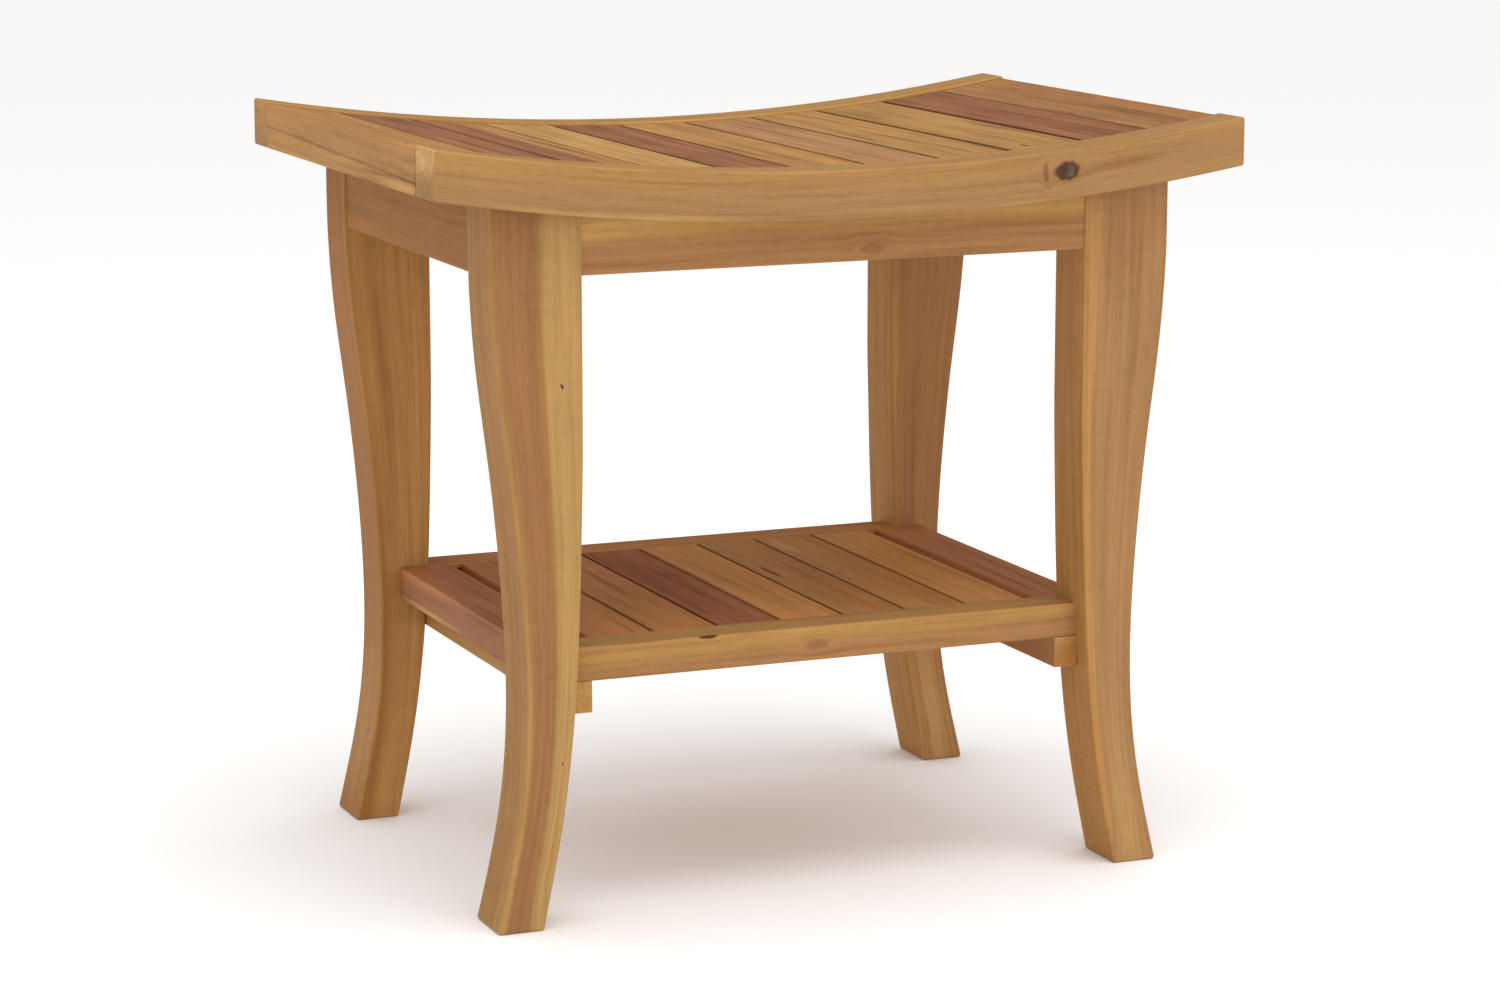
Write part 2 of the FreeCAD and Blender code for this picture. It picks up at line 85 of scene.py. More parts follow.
class StoolWood(PropertyGroup):
    """Tones of the oiled boards and the real sizes of their figure."""

    straw: colour("Straw", "Palest sapwood", "#B58A50")
    flax: colour("Flax", "Cooler yellow sapwood of the legs and rails", "#AB8652")
    copper: colour("Copper", "Bright golden tan", "#AC7D47")
    honey: colour("Honey", "Usual tone of the oiled seat rails", "#9A744A")
    amber: colour("Amber", "Yellow tan of the plain slats", "#A77D47")
    rose: colour("Rose", "Pinkish tan of young heartwood", "#AC7E52")
    blush: colour("Blush", "Pink band up the front of a leg", "#946741")
    # painted shade: russet, brick, sienna and ginger are tones for the shelf alone, redder and
    # more saturated than the seat's, standing in for the warm shade under the seat
    russet: colour("Russet", "Warm red tan of the shelf", "#B27842")
    fawn: colour("Fawn", "Paler brown of the front right leg", "#9C744A")
    toffee: colour("Toffee", "Brown of the front apron and the lower edge of the rails", "#9C6F46")
    chestnut: colour("Chestnut", "Middle brown of the legs and aprons", "#996838")
    # painted shade: brick, sienna and ginger, like russet, are shelf tones deepened for the warm
    # shade under the seat
    brick: colour("Brick", "Red heartwood of the shelf's dark boards", "#9A5D38")
    sienna: colour("Sienna", "Red tan of the shelf's end boards", "#A96F46")
    ginger: colour("Ginger", "Brightest tan of the shelf", "#BC8346")
    mauve: colour("Mauve", "Dusky heartwood of the seat's dark slats", "#956241")
    plum: colour("Plum", "Darkest heartwood", "#915F3F")
    cream: colour("Cream", "Pale streaks of fresh sapwood", "#C9A066")
    line: colour("Grain line", "Late wood in the pale boards", "#7D5633")
    dusk: colour("Dusk line", "Late wood in the dark boards", "#6B4433")
    stain: colour("Stain", "Red-brown stain in the pale boards", "#8A5436")
    knot_rim: colour("Knot rim", "Red-brown bark ring of a knot", "#764530")
    knot_core: colour("Knot core", "Dark heart of a knot", "#4A3628")
    knot_ash: colour("Knot ash", "Grey flecks in the heart of a knot", "#6F6456")
    fibre: size("Fibre", "Width of a fibre bundle", 0.0008)
    streak_length: size("Streak length", "Length of a colour streak", 0.150)
    streak_width: size("Streak width", "Width of a colour streak", 0.004)
    ripple_length: size("Ripple", "Spacing of the ripple across the grain", 0.0035)
    pore_length: size("Pore length", "Length of an open pore", 0.009)
    pore_width: size("Pore width", "Width of an open pore, drawn coarse enough to show", 0.0005)
    worn_edge: size("Worn edge", "How far the rubbed arrises reach on to a face", 0.0022)


class StoolSteel(PropertyGroup):
    """Finish of the screws."""

    steel: colour("Steel", "Stainless screw heads", "#BDBCB8")
    dull_steel: colour("Dull steel", "Steel between the turning marks", "#9C9B97")
    scratch: size("Scratch", "Spacing of the fine turning marks on a head", 0.0004)


class StoolStage(PropertyGroup):
    """Floor, light and camera."""

    floor: colour("Floor", "Plain pale floor", "#FCFBFA")
    floor_width: size("Floor width", "Side of the floor", 60.0)
    floor_gap: size("Floor gap", "How far the floor lies below the feet, so they share no plane",
                    0.0002)
    sky: share("Room light", "Strength of the even light all round", 1.0, 4.0)
    walls: share("Walls", "Share of the room light that the dim walls send to reflections", 0.15)
    top_power: FloatProperty(name="Top lamp", description="Watts of the soft lamp overhead",
                             unit="POWER", min=0.0, default=26.0)
    front_power: FloatProperty(name="Front lamp", description="Watts of the soft lamp in front",
                               unit="POWER", min=0.0, default=14.0)
    lamp_width: size("Lamp width", "Side of each soft lamp", 1.8)
    lens: FloatProperty(name="Lens", description="Focal length of the camera",
                        subtype="DISTANCE_CAMERA", min=1.0, default=96.75)
    camera_place: FloatVectorProperty(name="Camera", description="Where the camera stands",
                                      subtype="TRANSLATION", unit="LENGTH",
                                      default=(-0.9276, -2.2401, 0.6645))
    camera_yaw: FloatProperty(name="Turn", description="Camera's turn to the right of straight on",
                              subtype="ANGLE", default=math.radians(22.686))
    camera_pitch: FloatProperty(name="Tilt", description="Camera's tilt below the horizon",
                                subtype="ANGLE", default=math.radians(10.627))


# ------------------------------------------------------------------ nodes
def add(tree, kind, put=None, take=0, **settings):
    """Add a node to a tree. settings are its attributes, put gives each input, by name or
    number, a value or the socket that feeds it, and take, a name or number, is the output
    handed back. With take None it is the node itself."""
    node = tree.nodes.new(kind if kind.startswith("Node") else "ShaderNode" + kind)
    count = len(tree.nodes)
    node.location = (200 * (count // 6), -240 * (count % 6))
    for name, value in settings.items():
        setattr(node, name, value)
    fill(tree, node, put or {})
    return node if take is None else node.outputs[take]


def fill(tree, node, put):
    """Give a node's inputs, by name or number, a value or the socket that feeds them."""
    for name, value in put.items():
        if isinstance(value, NodeSocket):
            tree.links.new(value, node.inputs[name])
        else:
            node.inputs[name].default_value = value


def new_group(name, takes, gives):
    """Start a node group with the named inputs and outputs, each with its kind."""
    tree = bpy.data.node_groups.new(name, "ShaderNodeTree")
    for side, sockets in (("INPUT", takes), ("OUTPUT", gives)):
        for label, kind in sockets:
            tree.interface.new_socket(label, in_out=side, socket_type="NodeSocket" + kind)
    return tree, add(tree, "NodeGroupInput", take=None).outputs


def knot_group():
    """A knot at a place on a board: the grain bends round it, and it has a core and a soft halo.

    With d the distance from its centre in units of its half sizes, the shade is full inside
    d = 0.55 and gone at d = 1.15. Places are drawn towards the centre line of the knot by
    75 % inside d = 0.6 and not at all beyond d = 3.2, so the grain lines bow out round it."""
    tree, given = new_group("Knot", [("Place", "Vector"), ("Centre", "Vector"),
                                     ("Size", "Vector"), ("Depth", "Float"), ("Shade", "Float")],
                            [("Place", "Vector"), ("Shade", "Float")])
    # noise with features about 3 mm across makes the outline ragged; half of it is taken back off
    rough = add(tree, "TexNoise", {"Vector": given["Place"], "Scale": 0.35, "Detail": 2.0},
                take="Color")
    ragged = add(tree, "VectorMath", {0: rough, 1: (KNOT_WOBBLE,) * 3,
                                         2: given["Place"]}, operation="MULTIPLY_ADD")
    away = add(tree, "VectorMath", {0: ragged, 1: given["Centre"]}, operation="SUBTRACT")
    away = add(tree, "VectorMath", {0: away, 1: (KNOT_WOBBLE / 2.0,) * 3},
               operation="SUBTRACT")
    scaled = add(tree, "VectorMath", {0: away, 1: given["Size"]}, operation="DIVIDE")
    distance = add(tree, "VectorMath", {0: scaled}, take="Value", operation="LENGTH")
    core = add(tree, "MapRange", {0: distance, 1: 0.55, 2: 1.15, 3: 1.0, 4: 0.0},
               interpolation_type="SMOOTHSTEP")
    deep = add(tree, "Math", {0: core, 1: given["Depth"]}, operation="MULTIPLY")
    shade = add(tree, "Math", {0: deep, 1: given["Shade"]}, operation="MAXIMUM")
    halo = add(tree, "MapRange", {0: distance, 1: 0.6, 2: 3.2, 3: -0.75, 4: 0.0},
               interpolation_type="SMOOTHSTEP")
    across = add(tree, "VectorMath", {0: away, 1: (0.0, 1.0, 1.0)}, operation="MULTIPLY")
    pull = add(tree, "VectorMath", {0: across, "Scale": halo}, operation="SCALE")
    bent = add(tree, "VectorMath", {0: given["Place"], 1: pull}, operation="ADD")
    add(tree, "NodeGroupOutput", {"Place": bent, "Shade": shade}, take=None)
    return tree


def mark_group():
    """A soft stain or pale streak: its strength fades from the centre of an ellipsoid to its
    edge, broken up by noise drawn out along the grain, and is added to the sum of the others."""
    tree, given = new_group("Mark", [("Place", "Vector"), ("Centre", "Vector"),
                                     ("Size", "Vector"), ("Depth", "Float"), ("Sum", "Float")],
                            [("Sum", "Float")])
    # the noise has features 40 mm long and 2.5 mm wide
    long = add(tree, "VectorMath", {0: given["Place"], 1: (0.025, 0.4, 0.4)},
               operation="MULTIPLY")
    rough = add(tree, "TexNoise", {"Vector": long, "Scale": 1.0, "Detail": 2.0})
    away = add(tree, "VectorMath", {0: given["Place"], 1: given["Centre"]}, operation="SUBTRACT")
    away = add(tree, "VectorMath", {0: away, 1: given["Size"]}, operation="DIVIDE")
    away = add(tree, "VectorMath", {0: away}, take="Value", operation="LENGTH")
    away = add(tree, "Math", {0: rough, 1: 0.9, 2: away}, operation="MULTIPLY_ADD")
    fade = add(tree, "MapRange", {0: away, 1: 0.5, 2: 1.45, 3: 1.0, 4: 0.0},
               interpolation_type="SMOOTHSTEP")
    total = add(tree, "Math", {0: fade, 1: given["Depth"], 2: given["Sum"]},
                operation="MULTIPLY_ADD")
    add(tree, "NodeGroupOutput", {"Sum": total}, take=None)
    return tree


def acacia_group(wood):
    """Oiled acacia. Place is in millimetres: along the grain, across it and through the board.

    Rings are circles about a pith line outside or inside the board, r being the distance
    from it after the place has wandered by slow noise. Heartwood lies inside a radius and
    sapwood outside it. Streaks, fibre and pores are noise drawn out along the grain, and the
    ripple is noise pressed short along it. Arrises are paler, where hands have rubbed them."""
    tree, given = new_group("Oiled acacia", [
        ("Place", "Vector"), ("Seed", "Float"), ("Heart", "Color"), ("Sap", "Color"),
        ("Line", "Color"), ("Pith", "Vector"), ("Lean", "Vector"), ("Radius", "Float"),
        ("Softness", "Float"), ("Rim", "Float"), ("Ring", "Float"), ("Rings", "Float"),
        ("Streaks", "Float"), ("Mottle", "Float"), ("Ripple", "Float"), ("Half size", "Vector"),
        ("Joint shade", "Vector"), ("Knot", "Float"), ("Stain", "Float"),
        ("Stain tone", "Color")],
        [("Colour", "Color"), ("Roughness", "Float"), ("Height", "Float")])

    # each piece is cut from its own place in the tree, and its grain wanders slowly
    shift = add(tree, "VectorMath", {0: SEED_STEP, "Scale": given["Seed"]}, operation="SCALE")
    own = add(tree, "VectorMath", {0: given["Place"], 1: shift}, operation="ADD")
    slow = add(tree, "VectorMath", {0: own, 1: DRIFT_SPAN}, operation="DIVIDE")
    wander = add(tree, "TexNoise", {"Vector": slow, "Scale": 1.0, "Detail": 1.0},
                 take="Color")
    wander = add(tree, "VectorMath", {0: wander, 1: (0.5, 0.5, 0.5)}, operation="SUBTRACT")
    place = add(tree, "VectorMath", {0: wander, 1: DRIFT, 2: given["Place"]},
                operation="MULTIPLY_ADD")
    own = add(tree, "VectorMath", {0: wander, 1: DRIFT, 2: own}, operation="MULTIPLY_ADD")

    # patterns drawn out along the grain
    along = {}
    for name, length, width, detail in (
            ("streak", wood.streak_length, wood.streak_width, 3.0),
            ("fibre", wood.fibre * 40.0, wood.fibre, 2.0),
            ("pore", wood.pore_length, wood.pore_width, 0.0),
            ("mottle", 0.090, 0.022, 1.0),
            ("ripple", wood.ripple_length, 0.020, 1.0)):
        scaled = add(tree, "VectorMath", {0: own, 1: (1 / (length * MM), 1 / (width * MM),
                                                      1 / (width * MM))}, operation="MULTIPLY")
        along[name] = add(tree, "TexNoise", {"Vector": scaled, "Scale": 1.0, "Detail": detail,
                                             "Roughness": 0.55})

    # distance from the pith, roughened by streaks by up to 2.5 mm either way, and the rings:
    # each year the wood darkens slowly and ends sharply
    u = add(tree, "SeparateXYZ", {0: place})
    leant = add(tree, "VectorMath", {0: given["Lean"], "Scale": u}, operation="SCALE")
    pith = add(tree, "VectorMath", {0: given["Pith"], 1: leant}, operation="ADD")
    spoke = add(tree, "VectorMath", {0: place, 1: pith}, operation="SUBTRACT")
    spoke = add(tree, "VectorMath", {0: spoke, 1: (0.0, 1.0, 1.0)}, operation="MULTIPLY")
    radius = add(tree, "VectorMath", {0: spoke}, take="Value", operation="LENGTH")
    ragged = add(tree, "Math", {0: along["streak"], 1: 5.0, 2: radius}, operation="MULTIPLY_ADD")
    ragged = add(tree, "Math", {0: ragged, 1: 2.5}, operation="SUBTRACT")
    turn = add(tree, "Math", {0: ragged, 1: given["Ring"]}, operation="DIVIDE")
    phase = add(tree, "Math", {0: turn}, operation="FRACT")
    rise = add(tree, "MapRange", {0: phase, 1: 0.35, 2: 0.90}, interpolation_type="SMOOTHSTEP")
    fall = add(tree, "MapRange", {0: phase, 1: 0.90, 2: 1.0, 3: 1.0, 4: 0.0},
               interpolation_type="SMOOTHSTEP")
    late = add(tree, "Math", {0: rise, 1: fall}, operation="MULTIPLY")
    year = add(tree, "TexNoise", {"W": turn, "Scale": 0.8, "Detail": 0.0}, noise_dimensions="1D")
    late = add(tree, "Math", {0: late, 1: year}, operation="MULTIPLY")

    # heartwood inside, sapwood outside, with a thin dark rim between
    low = add(tree, "Math", {0: given["Radius"], 1: given["Softness"]}, operation="SUBTRACT")
    high = add(tree, "Math", {0: given["Radius"], 1: given["Softness"]}, operation="ADD")
    heart = add(tree, "MapRange", {0: ragged, 1: low, 2: high, 3: 1.0, 4: 0.0},
                interpolation_type="SMOOTHSTEP")
    colour_now = add(tree, "Mix", {0: heart, 6: given["Sap"], 7: given["Heart"]}, take=2,
                     data_type="RGBA")
    gap = add(tree, "Math", {0: radius, 1: given["Radius"]}, operation="SUBTRACT")
    gap = add(tree, "Math", {0: gap}, operation="ABSOLUTE")
    rim = add(tree, "MapRange", {0: gap, 1: 0.2, 2: 1.4, 3: 1.0, 4: 0.0},
              interpolation_type="SMOOTHSTEP")
    rim = add(tree, "Math", {0: rim, 1: given["Rim"]}, operation="MULTIPLY")
    lines = add(tree, "Math", {0: late, 1: given["Rings"], 2: rim}, operation="MULTIPLY_ADD")
    dark_streak = add(tree, "MapRange", {0: along["streak"], 1: 0.50, 2: 0.72},
                      interpolation_type="SMOOTHSTEP")
    lines = add(tree, "Math", {0: dark_streak, 1: given["Streaks"], 2: lines},
                operation="MULTIPLY_ADD", use_clamp=True)
    colour_now = add(tree, "Mix", {0: lines, 6: colour_now, 7: given["Line"]}, take=2,
                     data_type="RGBA")

    # stains darken and pale streaks lighten, whichever way the sum of the marks goes
    for amount, tone in ((1.0, given["Stain tone"]), (-1.0, wood.cream)):
        amount = add(tree, "Math", {0: given["Stain"], 1: amount}, operation="MULTIPLY",
                     use_clamp=True)
        colour_now = add(tree, "Mix", {0: amount, 6: colour_now, 7: tone}, take=2,
                         data_type="RGBA")

    # arrises: the middle one of the three distances to the piece's faces is small there
    depth = add(tree, "VectorMath", {0: given["Place"]}, operation="ABSOLUTE")
    depth = add(tree, "VectorMath", {0: given["Half size"], 1: depth}, operation="SUBTRACT")
    parts = add(tree, "SeparateXYZ", {0: depth}, take=None).outputs
    least = add(tree, "Math", {0: parts[0], 1: parts[1]}, operation="MINIMUM")
    most = add(tree, "Math", {0: parts[0], 1: parts[1]}, operation="MAXIMUM")
    most = add(tree, "Math", {0: most, 1: parts[2]}, operation="MINIMUM")
    middle = add(tree, "Math", {0: least, 1: most}, operation="MAXIMUM")
    # mottle moves the worn strip's edge by a millimetre or so, as uneven rubbing does
    worn = add(tree, "Math", {0: along["mottle"], 1: -3.0, 2: middle}, operation="MULTIPLY_ADD")
    worn = add(tree, "MapRange", {0: worn, 1: -1.6, 2: wood.worn_edge * MM - 1.2, 3: 1.0, 4: 0.0},
               interpolation_type="SMOOTHSTEP")
    cut_end = add(tree, "MapRange", {0: parts[0], 1: 0.2, 2: 0.9, 3: 1.0, 4: 0.0},
                  interpolation_type="SMOOTHSTEP")

    # brightness: mottle, ripple, streaks and fibre vary it, worn arrises and cut ends lift it,
    # and pores lower it
    pores = add(tree, "MapRange", {0: along["pore"], 1: 0.66, 2: 0.76},
                interpolation_type="SMOOTHSTEP")
    gain = add(tree, "Math", {0: along["mottle"], 1: 0.5}, operation="SUBTRACT")
    gain = add(tree, "Math", {0: gain, 1: given["Mottle"], 2: 1.0}, operation="MULTIPLY_ADD")
    wave = add(tree, "Math", {0: along["ripple"], 1: 0.5}, operation="SUBTRACT")
    gain = add(tree, "Math", {0: wave, 1: given["Ripple"], 2: gain}, operation="MULTIPLY_ADD")
    pale = add(tree, "Math", {0: 0.5, 1: along["streak"]}, operation="SUBTRACT")
    gain = add(tree, "Math", {0: pale, 1: GAIN["streak"], 2: gain}, operation="MULTIPLY_ADD")
    thread = add(tree, "Math", {0: along["fibre"], 1: 0.5}, operation="SUBTRACT")
    for name, value in (("fibre", thread), ("pore", pores), ("worn", worn), ("cut_end", cut_end)):
        gain = add(tree, "Math", {0: value, 1: GAIN[name], 2: gain}, operation="MULTIPLY_ADD")
    colour_now = add(tree, "VectorMath", {0: colour_now, "Scale": gain}, operation="SCALE")

    # painted shade: near each long edge the colour is darkened, standing in for the shade that
    # lies deep in the joint between boards
    level = add(tree, "SeparateXYZ", {0: given["Place"]}, take=None).outputs
    edge = add(tree, "SeparateXYZ", {0: given["Half size"]}, take=None).outputs
    gap_shade_strengths = add(tree, "SeparateXYZ", {0: given["Joint shade"]}, take=None).outputs
    painted_gap_shade = 1.0
    for side, strength in ((-1.0, gap_shade_strengths[0]), (1.0, gap_shade_strengths[1])):
        apart = add(tree, "Math", {0: level[1], 1: -side, 2: edge[1]}, operation="MULTIPLY_ADD")
        wall = add(tree, "MapRange", {0: apart, 1: 0.15, 2: 1.5, 3: 1.0, 4: 0.0},
                   interpolation_type="SMOOTHSTEP")
        wall = add(tree, "Math", {0: wall, 1: strength}, operation="MULTIPLY")
        wall = add(tree, "Math", {0: 1.0, 1: wall}, operation="SUBTRACT")
        painted_gap_shade = add(tree, "Math", {0: wall, 1: painted_gap_shade}, operation="MULTIPLY")
    colour_now = add(tree, "VectorMath", {0: colour_now, "Scale": painted_gap_shade}, operation="SCALE")

    # knots
    rim_amount = add(tree, "MapRange", {0: given["Knot"], 1: 0.0, 2: 0.55})
    core_amount = add(tree, "MapRange", {0: given["Knot"], 1: 0.5, 2: 0.9},
                      interpolation_type="SMOOTHSTEP")
    colour_now = add(tree, "Mix", {0: rim_amount, 6: colour_now, 7: wood.knot_rim}, take=2,
                     data_type="RGBA")
    flecks = add(tree, "TexNoise", {"Vector": given["Place"], "Scale": 0.22, "Detail": 3.0})
    flecks = add(tree, "MapRange", {0: flecks, 1: 0.36, 2: 0.60}, interpolation_type="SMOOTHSTEP")
    deepest = add(tree, "MapRange", {0: given["Knot"], 1: 0.93, 2: 1.0, 4: 0.55})
    flecks = add(tree, "Math", {0: flecks, 1: deepest}, operation="MULTIPLY")
    core = add(tree, "Mix", {0: flecks, 6: wood.knot_core, 7: wood.knot_ash}, take=2,
               data_type="RGBA")
    colour_now = add(tree, "Mix", {0: core_amount, 6: colour_now, 7: core}, take=2,
                     data_type="RGBA")

    # satin oil: pores and knots are rougher and lie lower
    rough = add(tree, "Math", {0: thread, 1: 0.16, 2: 0.54}, operation="MULTIPLY_ADD")
    height = add(tree, "Math", {0: thread, 1: 0.5, 2: 0.5}, operation="MULTIPLY_ADD")
    height = add(tree, "Math", {0: wave, 1: 0.6, 2: height}, operation="MULTIPLY_ADD")
    for value, roughen, lower in ((pores, 0.14, -0.5), (late, -0.05, 0.12),
                                  (core_amount, 0.15, -0.6), (cut_end, 0.12, -0.2)):
        rough = add(tree, "Math", {0: value, 1: roughen, 2: rough}, operation="MULTIPLY_ADD")
        height = add(tree, "Math", {0: value, 1: lower, 2: height}, operation="MULTIPLY_ADD")
    add(tree, "NodeGroupOutput", {"Colour": colour_now, "Roughness": rough, "Height": height},
        take=None)
    return tree


# ------------------------------------------------------------------ how the grain runs
LEG_ARRIS = 1.5  # mm, radius of the legs' rounded arrises


def seat_arc():
    """Radius of the seat's upper curve and the height of its centre, from the rail's chord and
    sag: R = (half chord squared + sag squared) / (2 sag)."""
    points = mesh_points("seat_rail_front")
    middle = points[np.abs(points[:, 0]) < 12.0]
    half = points[:, 0].max()
    sag = points[:, 2].max() - middle[:, 2].max()
    radius = (half ** 2 + sag ** 2) / (2.0 * sag)
    return radius, middle[:, 2].max() + radius


def mesh_points(node):
    """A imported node's vertices in millimetres."""
    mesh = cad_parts[node].data
    flat = np.empty(len(mesh.vertices) * 3, np.float32)
    mesh.vertices.foreach_get("co", flat)
    return flat.reshape(-1, 3).astype(float) * MM


def leg_edges(node, count=18):
    """Heights of even stations up a leg and its outer and inner edge there, read from the two
    long lines of its mesh where the rounded outward arrises meet the walls."""
    points = mesh_points(node)
    x, y, z = np.abs(points[:, 0]), np.abs(points[:, 1]), points[:, 2]
    on_line = np.abs(y - (y.max() - LEG_ARRIS)) < 0.05
    stations = np.linspace(z.min(), z.max(), count)
    edges = []
    for side in (x > (x.min() + x.max()) / 2.0, x < (x.min() + x.max()) / 2.0):
        line = np.flatnonzero(on_line & side & (z > LEG_ARRIS))
        line = line[np.argsort(z[line])]
        edges.append(np.interp(stations, z[line], x[line]))
    return stations, *edges


def grain_axes(node, run):
    """A node's vertices along the grain, across it and through it, in millimetres."""
    points = mesh_points(node)
    x, y, z = points.T
    if run.startswith("arc"):
        radius, centre = seat_arc()
        s = radius * np.arctan2(x, centre - z)
        h = radius - np.hypot(x, centre - z)
        return np.stack([s, y, h] if run == "arc" else [-y, s, h], 1)
    if run == "up":
        stations, outer, inner = leg_edges(node)
        wide = (outer - inner).max() / 2.0
        o, i = np.interp(z, stations, outer), np.interp(z, stations, inner)
        return np.stack([z, (np.abs(x) - (o + i) / 2.0) / (o - i) * 2.0 * wide, y], 1)
    return points if run == "along" else np.stack([-y, x, z], 1)


def grain_place(tree, node, run):
    """Nodes that give the same place, measured from the middle of the piece, and its half size."""
    axes = grain_axes(node, run)
    low, high = axes.min(0), axes.max(0)
    middle, half = (low + high) / 2.0, (high - low) / 2.0
    place = add(tree, "TexCoord", take="Object")
    straight = run in ("along", "across")
    turn = math.radians(90.0) if run == "across" else 0.0
    place = add(tree, "Mapping", {0: place, 1: tuple(-middle) if straight else (0, 0, 0),
                                  2: (0.0, 0.0, turn), 3: (MM, MM, MM)})
    if straight:
        return place, half
    x, y, z = add(tree, "SeparateXYZ", {0: place}, take=None).outputs
    if run.startswith("arc"):
        # along the seat's curve: s = R atan2(x, zc - z) and h = R - the distance from its centre
        radius, centre = seat_arc()
        below = add(tree, "Math", {0: centre, 1: z}, operation="SUBTRACT")
        angle = add(tree, "Math", {0: x, 1: below}, operation="ARCTAN2")
        s = add(tree, "Math", {0: angle, 1: radius}, operation="MULTIPLY")
        spoke = add(tree, "CombineXYZ", {0: x, 2: below})
        reach = add(tree, "VectorMath", {0: spoke}, take="Value", operation="LENGTH")
        h = add(tree, "Math", {0: radius, 1: reach}, operation="SUBTRACT")
        back = add(tree, "Math", {0: y, 1: -1.0}, operation="MULTIPLY")
        place = add(tree, "CombineXYZ", {0: s, 1: y, 2: h} if run == "arc"
                    else {0: back, 1: s, 2: h})
    else:
        # up a leg: the place across is the share of the way between its two edges
        stations, outer, inner = leg_edges(node)
        reach = outer.max()
        share_up = add(tree, "MapRange", {0: z, 1: stations[0], 2: stations[-1]})
        edges = []
        for values in (outer, inner):
            curve = add(tree, "FloatCurve", {1: share_up}, take=None)
            points = curve.mapping.curves[0].points
            ups = (stations - stations[0]) / np.ptp(stations)
            for number, (up, value) in enumerate(zip(ups, values / reach)):
                point = points[number] if number < 2 else points.new(up, value)
                point.location = (up, value)
            curve.mapping.update()
            edges.append(curve.outputs[0])
        both = add(tree, "Math", {0: edges[0], 1: edges[1]}, operation="ADD")
        centre = add(tree, "Math", {0: both, 1: reach / 2.0}, operation="MULTIPLY")
        wide = add(tree, "Math", {0: edges[0], 1: edges[1]}, operation="SUBTRACT")
        wide = add(tree, "Math", {0: wide, 1: reach / (outer - inner).max()},
                   operation="MULTIPLY")
        side = add(tree, "Math", {0: x}, operation="ABSOLUTE")
        side = add(tree, "Math", {0: side, 1: centre}, operation="SUBTRACT")
        side = add(tree, "Math", {0: side, 1: wide}, operation="DIVIDE")
        place = add(tree, "CombineXYZ", {0: z, 1: side, 2: y})
    place = add(tree, "VectorMath", {0: place, 1: tuple(middle)}, operation="SUBTRACT")
    return place, half


# ------------------------------------------------------------------ the boards
# Each board: run, the way its grain goes; heart, sap, line and stain, its tones; pith, where
# the tree's middle lies, across and through the board from its own middle (mm), and lean, how
# that drifts per mm of length; radius and soft, which bound the heartwood (mm); ring, the
# spacing of the years (mm); then the strength of the rim, rings, streaks, mottle and ripple,
# and of the shade in the joint at each long edge. A knot is (centre, half sizes, depth of
# shade), and so is a mark, whose depth is above 0 for a stain and below 0 for a pale streak.
DEEP = 30.0  # mm, half size of a mark that goes right through a board
CUT = dict(run="across", heart="honey", sap="flax", line="line", stain="stain",
           pith=(22.0, -46.0), lean=(0.03, 0.02), radius=60.0, soft=14.0, ring=6.5, rim=0.0,
           rings=0.14, streaks=0.22, mottle=0.16, ripple=0.06, joints=(0.0, 0.0), knots=(),
           marks=())
LEG = dict(CUT, run="up", heart="chestnut", streaks=0.12, ripple=0.14)
DARK = dict(CUT, heart="mauve", sap="chestnut", line="dusk", stain="dusk", radius=90.0,
            streaks=0.35, mottle=0.3)
# strength of the painted joint shade at both long edges of a board butted between others
BUTTED = (0.5, 0.5)
SEAT = dict(CUT, run="arc_y", joints=BUTTED, streaks=0.55, rings=0.34, mottle=0.5)
SEAT_DARK = dict(DARK, run="arc_y", joints=BUTTED, streaks=0.55, rings=0.3, mottle=0.55)
# painted shade: the shelf boards take the shelf's redder tones, which stand in for the warm shade
# under the seat
SHELF = dict(CUT, joints=BUTTED, streaks=0.3)
SHELF_DARK = dict(DARK, heart="brick", sap="brick", joints=BUTTED)

